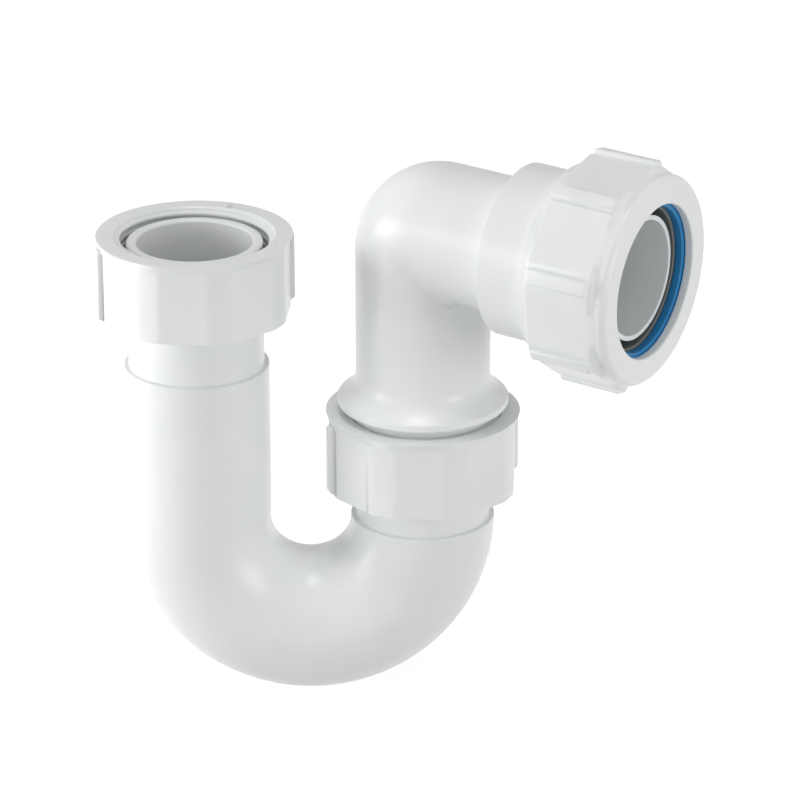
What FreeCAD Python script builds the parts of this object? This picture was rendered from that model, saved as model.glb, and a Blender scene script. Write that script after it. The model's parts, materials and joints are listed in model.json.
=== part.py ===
import FreeCAD, Part
import math
import os
import Sketcher

# Swivel P trap, 40 mm: a U bend with two plain spigots, a free coupling nut on the inlet spigot,
# a swivel joint on the other one, and an outlet elbow that ends in a compression socket.
# Origin: centre of the inlet nut's mouth. +Z points up out of the inlet, and +X from the inlet leg
# to the swivel leg. Every size is in millimetres.

doc = FreeCAD.newDocument("swivel_p_trap")

# ---------------------------------------------------------------------------------------------
# Driving dimensions
# ---------------------------------------------------------------------------------------------
sheet = doc.addObject("Spreadsheet::Sheet", "sizes")
sheet_rows = []


def size(alias, value, meaning):
    """Adds one driving dimension to the sheet, with its meaning beside it."""
    sheet_rows.append(alias)
    row = str(len(sheet_rows))
    sheet.set("A" + row, meaning)
    sheet.set("B" + row, str(value))
    sheet.setAlias("B" + row, alias)


# U bend
size("leg_spacing", 69.0, "distance between the two vertical axes")
size("leg_radius", 22.2, "outside radius of the U tube")
size("leg_bore", 19.3, "inside radius of the U tube")
size("spigot_radius", 20.7, "outside radius of both spigots")
size("spigot_bore", 17.6, "inside radius of both spigots")
size("spigot_length", 39.5, "length of each spigot above its step")
size("spigot_top_depth", 2.0, "inlet spigot's end below the inlet nut's mouth")
size("swivel_step_depth", 92.2, "step under the swivel joint, below the origin")
size("step_edge", 0.6, "chamfer on each step")
size("rim_edge", 0.8, "chamfer on the spigots' ends")
size("bend_depth", 92.9, "centre of the U's arc below the origin")
size("bore_taper", 3.0, "length of the cone between the two bores")

# Coupling nuts, one on the inlet and one on the swivel joint
size("nut_height", 24.8, "height of a coupling nut")
size("nut_rim_radius", 29.8, "radius of the band at the nut's mouth")
size("nut_rim_height", 2.4, "height of that band")
size("nut_body_radius", 29.2, "radius of the nut's body at the corners between its flats")
size("nut_flat_radius", 28.2, "distance of the flats from the nut's axis")
size("nut_edge", 0.7, "chamfer on the nut's outer edges")
size("nut_floor", 3.0, "thickness of the nut's floor")
size("nut_floor_bore", 21.1, "radius of the hole in the nut's floor")
size("nut_relief_depth", 12.0, "mouth to the end of the nut's thread")
size("rib_count", 8, "grip ribs on each nut")
size("rib_radius", 31.0, "radius at the top of a rib")
size("rib_width", 4.2, "width of a rib")
size("rib_foot", 0.3, "rib's end to the nut's floor end")
size("rib_slope", 1.2, "length of the slope at the rib's end")
size("rib_root", 1.0, "depth of a rib's root inside the nut's wall")
size("rib_start", 0.4, "rib's start below the chamfer at the mouth")
size("rib_sink", 0.3, "step from the wall down to the rib's two ends")
size("inlet_nut_turn", 16.0, "angle of the inlet nut's first rib")
size("swivel_nut_turn", 18.3, "angle of the swivel nut's first rib")

# Inch and a half pipe thread, parallel
size("thread_pitch", 2.309, "thread pitch, 11 turns per inch")
size("thread_crest_nut", 22.6, "radius of the nut thread's crests")
size("thread_root_nut", 24.1, "radius of the nut thread's roots")
size("thread_crest_male", 23.7, "radius of the male thread's crests")
size("thread_root_male", 22.2, "radius of the male thread's roots")
size("groove_root_width", 0.6, "width of the thread groove at its root")
size("groove_crest_width", 1.75, "width of the thread groove at the crests")

# Slip rings and cone seals inside the two coupling nuts
size("ring_thickness", 2.2, "thickness of a slip ring")
size("ring_radius", 23.6, "outside radius of a slip ring")
size("ring_bore", 20.95, "inside radius of a slip ring")
size("seal_radius", 22.4, "outside radius of a cone seal at its base")
size("seal_tip_radius", 21.5, "outside radius of a cone seal at its tip")
size("seal_bore", 20.8, "inside radius of a cone seal")
size("seal_base_height", 3.2, "height of the seal's straight base")
size("seat_gap", 0.1, "gap between faces that press together")

# Swivel joint and outlet elbow
size("swivel_mouth_depth", 57.7, "swivel nut's mouth below the origin")
size("shoulder_gap", 2.6, "elbow's shoulder above the swivel nut's mouth")
size("shoulder_radius", 26.2, "radius of the elbow's shoulder")
size("shoulder_height", 2.6, "height of the shoulder's rim")
size("shoulder_edge", 0.9, "chamfer under the shoulder")
size("bell_height", 7.5, "height of the flare from the pipe to the shoulder")
size("bell_waist", 22.6, "radius of the flare at a third of its height")
size("male_length", 8.7, "male thread's end below the swivel nut's mouth")
size("neck_height", 2.0, "plain neck between the shoulder and the thread")
size("socket_bore", 21.0, "inside radius of the elbow's socket")
size("lead_in", 1.0, "chamfer at the socket's mouth")
size("socket_stop_gap", 0.4, "spigot's end to the stop in the elbow's socket")
size("pipe_radius", 20.6, "outside radius of the elbow's pipe")
size("pipe_bore", 17.6, "inside radius of the elbow's pipe")
size("corner_radius", 6.9, "radius of the elbow's corner, along the middle of the pipe")
size("arm_height", 2.2, "outlet axis above the origin, at the swivel axis")
size("arm_fall", 2.0, "fall of the outlet, in degrees")
size("arm_turn", -33.0, "direction of the outlet from +X, in degrees")
size("flare_radius", 21.0, "arm's radius where it meets the collar")
size("collar_start", 32.2, "swivel axis to the collar's step")
size("collar_radius", 26.2, "radius of the collar")
size("collar_slope", 1.5, "length of the slope at the collar's step")
size("flange_start", 49.5, "swivel axis to the flange")
size("flange_radius", 29.4, "radius of the flange behind the outlet nut")
size("flange_edge", 0.7, "chamfer on the flange")
size("flange_thickness", 2.6, "thickness of the flange")
size("sleeve_end", 66.3, "swivel axis to the end of the threaded sleeve")
size("sleeve_bore", 21.8, "inside radius of the threaded sleeve")
size("sleeve_floor", 56.0, "swivel axis to the pipe stop in the sleeve")
size("sleeve_crest", 28.0, "radius of the outlet thread's crests")
size("sleeve_root", 26.7, "radius of the outlet thread's roots")
size("liner_end", 74.2, "swivel axis to the end of the inner tube")
size("liner_radius", 18.9, "outside radius of the inner tube")
size("liner_bore", 17.5, "inside radius of the inner tube")

# Outlet nut with its ring and seal
size("outlet_pitch", 3.0, "pitch of the outlet thread")
size("outlet_nut_rear", 53.4, "swivel axis to the outlet nut's rear end")
size("outlet_nut_front", 79.4, "swivel axis to the outlet nut's front face")
size("outlet_body_radius", 33.4, "outlet nut's radius at the corners between its flats")
size("outlet_flat_radius", 32.2, "distance of the flats from the outlet nut's axis")
size("outlet_rib_radius", 35.2, "radius at the top of the outlet nut's ribs")
size("outlet_rib_width", 4.6, "width of the outlet nut's ribs")
size("outlet_band", 5.0, "plain band at the outlet nut's front")
size("outlet_band_radius", 31.9, "radius of that band")
size("outlet_band_edge", 1.4, "chamfer on that band")
size("outlet_lip", 2.9, "thickness of the outlet nut's lip")
size("outlet_lip_bore", 23.3, "inside radius of the lip")
size("outlet_lip_edge", 0.5, "chamfer on the lip's edge")
size("outlet_crest", 27.1, "radius of the outlet nut thread's crests")
size("outlet_root", 28.4, "radius of the outlet nut thread's roots")
size("outlet_thread_end", 69.0, "swivel axis to the end of the outlet nut's thread")
size("outlet_nut_turn", -12.0, "angle of the outlet nut's first rib from the top")
size("outlet_ring_thickness", 2.4, "thickness of the outlet slip ring")
size("outlet_ring_bore", 22.1, "inside radius of the outlet slip ring")
size("outlet_ring_radius", 26.8, "outside radius of the outlet slip ring")
size("outlet_ring_edge", 0.3, "chamfer on the outlet slip ring's inner edge")
size("outlet_seal_bore", 21.3, "inside radius of the outlet seal")
size("outlet_seal_radius", 26.7, "outside radius of the outlet seal")
size("outlet_seal_tip", 25.0, "outside radius of the outlet seal at its tip")
size("outlet_groove_root", 0.8, "width of the outlet thread groove at its root")
size("outlet_groove_crest", 2.1, "width of the outlet thread groove at the crests")

# Outlines of cuts and of solid shells
size("core_wall", 2.0, "wall that a shell has inside its bore until the bore is cut")
size("overcut", 1.0, "how far the outline of a cut stands clear of the piece or the axis")

# Where each male thread starts, so that its ridges lie in the grooves of its nut at rest
size(
    "swivel_thread_start",
    "=mod(male_length + thread_pitch / 2 - thread_pitch * (swivel_nut_turn - arm_turn) / 360;"
    " thread_pitch) - 1.5 * thread_pitch",
    "centre of the swivel thread's groove above the male end",
)
size(
    "outlet_thread_start",
    "=1.5 * outlet_pitch - mod(sleeve_end - outlet_nut_rear + outlet_pitch / 2"
    " + outlet_pitch * outlet_nut_turn / 360; outlet_pitch)",
    "centre of the outlet thread's groove beyond the sleeve's end",
)

doc.recompute()


def value(expression):
    """The number that an expression over the sheet gives."""
    result = sheet.evalExpression(expression)
    return float(getattr(result, "Value", result))


def from_sheet(text):
    """Puts the sheet's name before each alias in an expression."""
    words = []
    word = ""
    for letter in text + " ":
        if letter.isalnum() or letter in "_.":
            word += letter
            continue
        if word in sheet_rows:
            word = "sizes." + word
        words.append(word + letter)
        word = ""
    return "".join(words).strip()


# ---------------------------------------------------------------------------------------------
# Ways of making a piece
# ---------------------------------------------------------------------------------------------
def new_body(name, label):
    """A PartDesign body whose label is the name of its file."""
    body = doc.addObject("PartDesign::Body", name)
    body.Label = label
    return body


def origin_plane(body, role):
    """The body's own origin plane with that role."""
    for feature in body.Origin.OriginFeatures:
        if feature.Role == role:
            return feature
    raise ValueError(role)


def new_sketch(body, name, role="XZ_Plane", offset=None):
    """A sketch on one of the body's origin planes, with an optional offset on it."""
    sketch = body.newObject("Sketcher::SketchObject", name)
    sketch.AttachmentSupport = [(origin_plane(body, role), "")]
    sketch.MapMode = "FlatFace"
    if offset:
        sketch.AttachmentOffset = offset
    return sketch


def bind_point(sketch, edge, end, across, up):
    """Holds one end of a sketch line at two expressions over the sheet."""
    for kind, text in (("DistanceX", across), ("DistanceY", up)):
        number = value(text)
        constraint = Sketcher.Constraint(kind, -1, 1, edge, end, number)
        index = sketch.addConstraint(constraint)
        sketch.setExpression("Constraints[%d]" % index, text)


def outline(sketch, corners):
    """Draws a closed outline. Each corner is two expressions: across and up."""
    corners = [(from_sheet(across), from_sheet(up)) for across, up in corners]
    points = [FreeCAD.Vector(value(across), value(up), 0) for across, up in corners]
    count = len(points)
    for i in range(count):
        sketch.addGeometry(Part.LineSegment(points[i], points[(i + 1) % count]), False)
    for i in range(count):
        sketch.addConstraint(Sketcher.Constraint("Coincident", i, 2, (i + 1) % count, 1))
    for i, (across, up) in enumerate(corners):
        bind_point(sketch, i, 1, across, up)
    return sketch


def turned(body, name, corners, cut=False, axis="V_Axis", offset=None):
    """Turns a closed outline about a sketch axis, to add material or to cut it away."""
    sketch = outline(new_sketch(body, name + "_outline", offset=offset), corners)
    kind = "PartDesign::Groove" if cut else "PartDesign::Revolution"
    feature = body.newObject(kind, name)
    feature.Profile = sketch
    feature.ReferenceAxis = (sketch, [axis])
    feature.Angle = 360.0
    doc.recompute()
    return feature


def patterned(body, name, feature, count):
    """Repeats a feature round the body's Z axis."""
    pattern = body.newObject("PartDesign::PolarPattern", name)
    pattern.Originals = [feature]
    pattern.Axis = (feature.Profile[0], ["V_Axis"])
    pattern.Angle = 360.0
    pattern.setExpression("Occurrences", from_sheet(count))
    body.Tip = pattern
    doc.recompute()
    return pattern


def extruded(body, name, corners, width, cut=False, turn=0.0):
    """Extrudes an outline on the XZ plane, turned about Z, equally to both sides."""
    offset = FreeCAD.Placement(FreeCAD.Vector(), FreeCAD.Rotation(FreeCAD.Vector(0, 1, 0), turn))
    sketch = outline(new_sketch(body, name + "_outline", offset=offset), corners)
    kind = "PartDesign::Pocket" if cut else "PartDesign::Pad"
    feature = body.newObject(kind, name)
    feature.Profile = sketch
    feature.Midplane = True
    feature.setExpression("Length", from_sheet(width))
    doc.recompute()
    return feature


def helix_groove(body, name, corners, pitch, length, axis="V_Axis", down=True, offset=None):
    """Cuts a thread groove: the outline runs along a helix about a sketch axis."""
    sketch = outline(new_sketch(body, name + "_outline", offset=offset), corners)
    groove = body.newObject("PartDesign::SubtractiveHelix", name)
    groove.Profile = sketch
    groove.ReferenceAxis = (sketch, [axis])
    groove.Mode = 0
    groove.Pitch = value(from_sheet(pitch))
    groove.Height = value(from_sheet(length))
    groove.setExpression("Pitch", from_sheet(pitch))
    groove.setExpression("Height", from_sheet(length))
    groove.LeftHanded = False
    groove.Reversed = down
    doc.recompute()
    return groove


def bind_place(body, across, up):
    """Sets a body's place along X and Z from the sheet."""
    body.setExpression(".Placement.Base.x", from_sheet(across))
    body.setExpression(".Placement.Base.z", from_sheet(up))


# ---------------------------------------------------------------------------------------------
# U bend with its two spigots
# ---------------------------------------------------------------------------------------------
trap_bend = new_body("TrapBend", "trap_bend")


def leg(name, step, across):
    """Turns a leg with its spigot, hollow, from the U's arc up. The step is at the given depth."""
    offset = FreeCAD.Placement(FreeCAD.Vector(value(from_sheet(across)), 0, 0), FreeCAD.Rotation())
    foot = "-(" + step + ")"
    top = foot + " + spigot_length"
    feature = turned(
        trap_bend,
        name,
        [
            ("leg_bore", "-bend_depth"),
            ("leg_radius", "-bend_depth"),
            ("leg_radius", foot + " - step_edge"),
            ("leg_radius - step_edge", foot),
            ("spigot_radius", foot),
            ("spigot_radius", top + " - rim_edge"),
            ("spigot_radius - rim_edge", top),
            ("spigot_bore + rim_edge", top),
            ("spigot_bore", top + " - rim_edge"),
            ("spigot_bore", "(" + foot + ") + bore_taper"),
            ("leg_bore", "-bend_depth + bore_taper / 3"),
        ],
        offset=offset,
    )
    feature.Profile[0].setExpression(".AttachmentOffset.Base.x", from_sheet(across))
    doc.recompute()


def u_arc():
    """Turns a ring half way round, for the U's arc."""
    low = FreeCAD.Placement(FreeCAD.Vector(0, 0, value("-sizes.bend_depth")), FreeCAD.Rotation())
    section = new_sketch(trap_bend, "UArc_section", "XY_Plane", low)
    section.setExpression(".AttachmentOffset.Base.z", "-sizes.bend_depth")
    middle = value("sizes.leg_spacing") / 2
    for index, alias in enumerate(("leg_radius", "leg_bore")):
        radius = value("sizes." + alias)
        circle = Part.Circle(FreeCAD.Vector(), FreeCAD.Vector(0, 0, 1), radius)
        section.addGeometry(circle, False)
        section.addConstraint(Sketcher.Constraint("Coincident", index, 3, -1, 1))
        held = section.addConstraint(Sketcher.Constraint("Radius", index, radius))
        section.setExpression("Constraints[%d]" % held, "sizes." + alias)
    line = Part.LineSegment(FreeCAD.Vector(middle, -middle, 0), FreeCAD.Vector(middle, middle, 0))
    section.addGeometry(line, True)
    section.addConstraint(Sketcher.Constraint("Vertical", 2))
    held = section.addConstraint(Sketcher.Constraint("DistanceX", -1, 1, 2, 1, middle))
    section.setExpression("Constraints[%d]" % held, "sizes.leg_spacing / 2")
    arc = trap_bend.newObject("PartDesign::Revolution", "UArc")
    arc.Profile = section
    arc.ReferenceAxis = (section, ["Axis0"])
    arc.Angle = 180.0
    arc.Reversed = True
    doc.recompute()


u_arc()
leg("InletLeg", "spigot_top_depth + spigot_length", "0")
leg("SwivelLeg", "swivel_step_depth", "leg_spacing")


# ---------------------------------------------------------------------------------------------
# Coupling nuts, each with its mouth at its own origin and its floor below
# ---------------------------------------------------------------------------------------------
def ribbed(body, name, flat_corners, rib_corners, rib_width):
    """Cuts a flat between each two ribs, and adds the ribs."""
    half_step = 180.0 / value("sizes.rib_count")
    flat = extruded(body, name + "Flat", flat_corners, "nut_body_radius", cut=True, turn=half_step)
    patterned(body, name + "Flats", flat, "rib_count")
    rib = extruded(body, name + "Rib", rib_corners, rib_width)
    patterned(body, name + "Ribs", rib, "rib_count")


def coupling_nut(name, label):
    """A ribbed nut with a threaded mouth above and a floor with a hole below."""
    body = new_body(name, label)
    turned(
        body,
        name + "Shell",
        [
            ("thread_crest_nut - core_wall", "0"),
            ("nut_rim_radius - nut_edge", "0"),
            ("nut_rim_radius", "-nut_edge"),
            ("nut_rim_radius", "-nut_rim_height"),
            ("nut_body_radius", "-nut_rim_height"),
            ("nut_body_radius", "-nut_height + nut_edge"),
            ("nut_body_radius - nut_edge", "-nut_height"),
            ("thread_crest_nut - core_wall", "-nut_height"),
        ],
    )
    ribbed(
        body,
        name,
        [
            ("nut_flat_radius", "-nut_rim_height"),
            ("nut_rim_radius", "-nut_rim_height"),
            ("nut_rim_radius", "-nut_height - overcut"),
            ("nut_flat_radius", "-nut_height - overcut"),
        ],
        [
            ("nut_flat_radius - rib_root", "-nut_edge - rib_start"),
            ("nut_rim_radius - rib_sink", "-nut_edge - rib_start"),
            ("rib_radius", "-nut_rim_height"),
            ("rib_radius", "-nut_height + rib_foot + rib_slope"),
            ("nut_body_radius - rib_sink", "-nut_height + rib_foot"),
            ("nut_flat_radius - rib_root", "-nut_height + rib_foot"),
        ],
        "rib_width",
    )
    turned(
        body,
        name + "Inside",
        [
            ("overcut", "overcut"),
            ("thread_root_nut + overcut", "overcut"),
            ("thread_root_nut", "0"),
            ("thread_crest_nut", "thread_crest_nut - thread_root_nut"),
            ("thread_crest_nut", "-nut_relief_depth"),
            ("thread_root_nut", "-nut_relief_depth"),
            ("thread_root_nut", "-nut_height + nut_floor"),
            ("nut_floor_bore", "-nut_height + nut_floor"),
            ("nut_floor_bore", "-nut_height - overcut"),
            ("overcut", "-nut_height - overcut"),
        ],
        cut=True,
    )
    helix_groove(
        body,
        name + "Thread",
        [
            ("thread_crest_nut - overcut / 2", "thread_pitch / 2 + groove_crest_width / 2"),
            ("thread_crest_nut", "thread_pitch / 2 + groove_crest_width / 2"),
            ("thread_root_nut", "thread_pitch / 2 + groove_root_width / 2"),
            ("thread_root_nut", "thread_pitch / 2 - groove_root_width / 2"),
            ("thread_crest_nut", "thread_pitch / 2 - groove_crest_width / 2"),
            ("thread_crest_nut - overcut / 2", "thread_pitch / 2 - groove_crest_width / 2"),
        ],
        "thread_pitch",
        "nut_relief_depth + thread_pitch",
    )
    return body


inlet_nut = coupling_nut("InletNut", "inlet_nut")
inlet_nut.Placement = FreeCAD.Placement(
    FreeCAD.Vector(), FreeCAD.Rotation(FreeCAD.Vector(0, 0, 1), value("sizes.inlet_nut_turn"))
)
swivel_nut = coupling_nut("SwivelNut", "swivel_nut")
swivel_nut.Placement = FreeCAD.Placement(
    FreeCAD.Vector(), FreeCAD.Rotation(FreeCAD.Vector(0, 0, 1), value("sizes.swivel_nut_turn"))
)
bind_place(swivel_nut, "leg_spacing", "-swivel_mouth_depth")


# ---------------------------------------------------------------------------------------------
# Slip ring and cone seal on each spigot, with their heights counted from the nut's mouth
# ---------------------------------------------------------------------------------------------
def slip_ring(name, label, across, up):
    """The hard ring that lies on a coupling nut's floor, so that the nut turns without the seal."""
    body = new_body(name, label)
    turned(
        body,
        name + "Ring",
        [
            ("ring_bore", "-nut_height + nut_floor + seat_gap"),
            ("ring_radius", "-nut_height + nut_floor + seat_gap"),
            ("ring_radius", "-nut_height + nut_floor + ring_thickness"),
            ("ring_bore", "-nut_height + nut_floor + ring_thickness"),
        ],
    )
    bind_place(body, across, up)
    return body


def cone_seal(name, label, across, up):
    """The rubber seal above the slip ring: a straight base, and a cone that narrows upwards."""
    body = new_body(name, label)
    foot = "-nut_height + nut_floor + ring_thickness + seat_gap"
    tip = "-male_length - seat_gap"
    turned(
        body,
        name + "Cone",
        [
            ("seal_bore", foot),
            ("seal_radius", foot),
            ("seal_radius", foot + " + seal_base_height"),
            ("seal_tip_radius", tip),
            ("seal_bore", tip),
        ],
    )
    bind_place(body, across, up)
    return body


inlet_slip_ring = slip_ring("InletSlipRing", "inlet_slip_ring", "0", "0")
inlet_seal = cone_seal("InletSeal", "inlet_seal", "0", "0")
swivel_slip_ring = slip_ring("SwivelSlipRing", "swivel_slip_ring", "leg_spacing", "-swivel_mouth_depth")
swivel_seal = cone_seal("SwivelSeal", "swivel_seal", "leg_spacing", "-swivel_mouth_depth")


# ---------------------------------------------------------------------------------------------
# Outlet elbow: socket, thread and shoulder below, a tight corner, and the outlet arm.
# Its own origin is on the swivel axis at the outlet axis's height, and its arm points along +X.
# ---------------------------------------------------------------------------------------------
outlet_elbow = new_body("OutletElbow", "outlet_elbow")
mouth = "-(arm_height + swivel_mouth_depth)"
male_end = mouth + " - male_length"
shoulder = mouth + " + shoulder_gap"
stop = "-(arm_height + swivel_step_depth) + spigot_length + socket_stop_gap"
arm_tilt = FreeCAD.Placement(
    FreeCAD.Vector(), FreeCAD.Rotation(FreeCAD.Vector(0, 0, 1), -value("sizes.arm_fall"))
)

fall = math.radians(value("sizes.arm_fall"))
corner_drop = value("sizes.corner_radius") * (math.cos(fall) + (1 + math.sin(fall)) * math.tan(fall))
corner_foot = "-%.12f" % corner_drop
arm_foot = "%.12f" % (value("sizes.corner_radius") * (1 + math.sin(fall)) / math.cos(fall))


def corner(name, radius, cut=False):
    """Turns the part of the pipe's circle that lies outside the corner's centre line through the bend."""
    lift = FreeCAD.Placement(FreeCAD.Vector(0, 0, -corner_drop), FreeCAD.Rotation())
    sketch = new_sketch(outlet_elbow, name + "_section", "XY_Plane", lift)
    pipe = value("sizes." + radius)
    reach = value("sizes.corner_radius")
    half = math.sqrt(pipe**2 - reach**2)
    opening = math.acos(reach / pipe)
    circle = Part.Circle(FreeCAD.Vector(), FreeCAD.Vector(0, 0, 1), pipe)
    low = FreeCAD.Vector(reach, -half, 0)
    high = FreeCAD.Vector(reach, half, 0)
    sketch.addGeometry(Part.ArcOfCircle(circle, opening, 2 * math.pi - opening), False)
    sketch.addGeometry(Part.LineSegment(low, high), False)
    sketch.addGeometry(Part.LineSegment(low * 1.5, high * 1.5), True)
    sketch.addConstraint(Sketcher.Constraint("Coincident", 0, 3, -1, 1))
    sketch.addConstraint(Sketcher.Constraint("Coincident", 0, 2, 1, 1))
    sketch.addConstraint(Sketcher.Constraint("Coincident", 0, 1, 1, 2))
    sketch.addConstraint(Sketcher.Constraint("Vertical", 1))
    for kind, words, number in (("Radius", radius, pipe), ("DistanceX", "corner_radius", reach)):
        ends = (0, number) if kind == "Radius" else (-1, 1, 1, 1, number)
        index = sketch.addConstraint(Sketcher.Constraint(kind, *ends))
        sketch.setExpression("Constraints[%d]" % index, "sizes." + words)
    kind = "PartDesign::Groove" if cut else "PartDesign::Revolution"
    bend = outlet_elbow.newObject(kind, name)
    bend.Profile = sketch
    bend.ReferenceAxis = (sketch, ["Edge2"])
    bend.setExpression("Angle", "90 + sizes.arm_fall")
    bend.Reversed = False
    doc.recompute()
    return bend


turned(
    outlet_elbow,
    "ElbowPipe",
    [
        ("pipe_bore - core_wall", male_end),
        ("thread_root_male", male_end),
        ("thread_crest_male", male_end + " + thread_crest_male - thread_root_male"),
        ("thread_crest_male", shoulder + " - neck_height"),
        ("thread_root_male", shoulder + " - neck_height"),
        ("thread_root_male", shoulder),
        ("shoulder_radius - shoulder_edge", shoulder),
        ("shoulder_radius", shoulder + " + shoulder_edge"),
        ("shoulder_radius", shoulder + " + shoulder_height"),
        ("shoulder_radius - shoulder_edge", shoulder + " + shoulder_height + shoulder_edge"),
        ("bell_waist", shoulder + " + shoulder_height + bell_height / 3"),
        ("pipe_radius", shoulder + " + shoulder_height + bell_height"),
        ("pipe_radius", corner_foot),
        ("pipe_bore - core_wall", corner_foot),
    ],
)
swivel_start = male_end + " + swivel_thread_start"
helix_groove(
    outlet_elbow,
    "ElbowThread",
    [
        ("thread_crest_male + overcut / 2", swivel_start + " + groove_crest_width / 2"),
        ("thread_crest_male", swivel_start + " + groove_crest_width / 2"),
        ("thread_root_male", swivel_start + " + groove_root_width / 2"),
        ("thread_root_male", swivel_start + " - groove_root_width / 2"),
        ("thread_crest_male", swivel_start + " - groove_crest_width / 2"),
        ("thread_crest_male + overcut / 2", swivel_start + " - groove_crest_width / 2"),
    ],
    "thread_pitch",
    "male_length + shoulder_gap - neck_height / 2 - swivel_thread_start",
    down=False,
)
corner("ElbowCorner", "pipe_radius")
turned(
    outlet_elbow,
    "Arm",
    [
        (arm_foot, "pipe_bore - core_wall"),
        (arm_foot, "pipe_radius"),
        ("collar_start", "flare_radius"),
        ("collar_start + collar_slope", "collar_radius"),
        ("flange_start", "collar_radius"),
        ("flange_start", "flange_radius - flange_edge"),
        ("flange_start + flange_edge", "flange_radius"),
        ("flange_start + flange_thickness - flange_edge", "flange_radius"),
        ("flange_start + flange_thickness", "flange_radius - flange_edge"),
        ("flange_start + flange_thickness", "sleeve_root"),
        ("flange_start + flange_thickness + neck_height", "sleeve_root"),
        ("flange_start + flange_thickness + neck_height", "sleeve_crest"),
        ("sleeve_end - sleeve_crest + sleeve_root", "sleeve_crest"),
        ("sleeve_end", "sleeve_root"),
        ("sleeve_end", "sleeve_bore"),
        ("sleeve_floor", "sleeve_bore"),
        ("sleeve_floor", "liner_radius"),
        ("liner_end - rim_edge / 2", "liner_radius"),
        ("liner_end", "liner_radius - rim_edge / 2"),
        ("liner_end", "pipe_bore - core_wall"),
    ],
    axis="H_Axis",
    offset=arm_tilt,
)
outlet_start = "sleeve_end + outlet_thread_start"
helix_groove(
    outlet_elbow,
    "OutletThread",
    [
        (outlet_start + " - outlet_groove_crest / 2", "sleeve_crest + overcut / 2"),
        (outlet_start + " - outlet_groove_crest / 2", "sleeve_crest"),
        (outlet_start + " - outlet_groove_root / 2", "sleeve_root"),
        (outlet_start + " + outlet_groove_root / 2", "sleeve_root"),
        (outlet_start + " + outlet_groove_crest / 2", "sleeve_crest"),
        (outlet_start + " + outlet_groove_crest / 2", "sleeve_crest + overcut / 2"),
    ],
    "outlet_pitch",
    outlet_start + " - flange_start - flange_thickness - neck_height / 2",
    axis="H_Axis",
    offset=arm_tilt,
)
corner("ElbowCornerBore", "pipe_bore", cut=True)
turned(
    outlet_elbow,
    "ElbowBore",
    [
        ("0", male_end + " - lead_in"),
        ("socket_bore + 2 * lead_in", male_end + " - lead_in"),
        ("socket_bore", male_end + " + lead_in"),
        ("socket_bore", stop),
        ("pipe_bore", stop),
        ("pipe_bore", corner_foot),
        ("0", corner_foot),
    ],
    cut=True,
)
turned(
    outlet_elbow,
    "ArmBore",
    [
        (arm_foot, "0"),
        (arm_foot, "pipe_bore"),
        ("collar_start", "pipe_bore"),
        ("collar_start + collar_slope", "liner_bore"),
        ("liner_end + overcut", "liner_bore"),
        ("liner_end + overcut", "0"),
    ],
    cut=True,
    axis="H_Axis",
    offset=arm_tilt,
)


def arm_place():
    """The place of what lies on the outlet axis: its own Z along the axis, from the swivel axis."""
    turn = FreeCAD.Rotation(FreeCAD.Vector(0, 0, 1), value("sizes.arm_turn"))
    tilt = FreeCAD.Rotation(FreeCAD.Vector(0, 1, 0), 90 + value("sizes.arm_fall"))
    base = FreeCAD.Vector(value("sizes.leg_spacing"), 0, value("sizes.arm_height"))
    return FreeCAD.Placement(base, turn * tilt)


outlet_elbow.Placement = FreeCAD.Placement(
    FreeCAD.Vector(value("sizes.leg_spacing"), 0, value("sizes.arm_height")),
    FreeCAD.Rotation(FreeCAD.Vector(0, 0, 1), value("sizes.arm_turn")),
)


# ---------------------------------------------------------------------------------------------
# Outlet nut, slip ring and seal, with +Z along the outlet axis from the swivel axis
# ---------------------------------------------------------------------------------------------
outlet_nut = new_body("OutletNut", "outlet_nut")
turned(
    outlet_nut,
    "OutletNutShell",
    [
        ("outlet_lip_bore - core_wall", "outlet_nut_rear"),
        ("outlet_body_radius - nut_edge", "outlet_nut_rear"),
        ("outlet_body_radius", "outlet_nut_rear + nut_edge"),
        ("outlet_body_radius", "outlet_nut_front - outlet_band"),
        ("outlet_band_radius", "outlet_nut_front - outlet_band + outlet_body_radius - outlet_band_radius"),
        ("outlet_band_radius", "outlet_nut_front - outlet_band_edge"),
        ("outlet_band_radius - outlet_band_edge", "outlet_nut_front"),
        ("outlet_lip_bore - core_wall", "outlet_nut_front"),
    ],
)
ribbed(
    outlet_nut,
    "OutletNut",
    [
        ("outlet_flat_radius", "outlet_nut_rear + nut_edge"),
        ("outlet_rib_radius", "outlet_nut_rear + nut_edge"),
        ("outlet_rib_radius", "outlet_nut_front - outlet_band"),
        ("outlet_flat_radius", "outlet_nut_front - outlet_band"),
    ],
    [
        ("outlet_flat_radius - rib_root", "outlet_nut_rear + nut_edge / 2"),
        ("outlet_rib_radius - nut_edge", "outlet_nut_rear + nut_edge / 2"),
        ("outlet_rib_radius", "outlet_nut_rear + nut_edge * 1.5"),
        ("outlet_rib_radius", "outlet_nut_front - outlet_band"),
        ("outlet_body_radius - rib_sink", "outlet_nut_front - outlet_band + rib_foot"),
        ("outlet_flat_radius - rib_root", "outlet_nut_front - outlet_band + rib_foot"),
    ],
    "outlet_rib_width",
)
turned(
    outlet_nut,
    "OutletNutInside",
    [
        ("overcut", "outlet_nut_rear - overcut"),
        ("outlet_root + overcut", "outlet_nut_rear - overcut"),
        ("outlet_root", "outlet_nut_rear"),
        ("outlet_crest", "outlet_nut_rear + outlet_root - outlet_crest"),
        ("outlet_crest", "outlet_nut_front - outlet_lip"),
        ("outlet_lip_bore", "outlet_nut_front - outlet_lip"),
        ("outlet_lip_bore", "outlet_nut_front - outlet_lip_edge"),
        ("outlet_lip_bore + outlet_lip_edge + overcut", "outlet_nut_front + overcut"),
        ("overcut", "outlet_nut_front + overcut"),
    ],
    cut=True,
)
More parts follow.
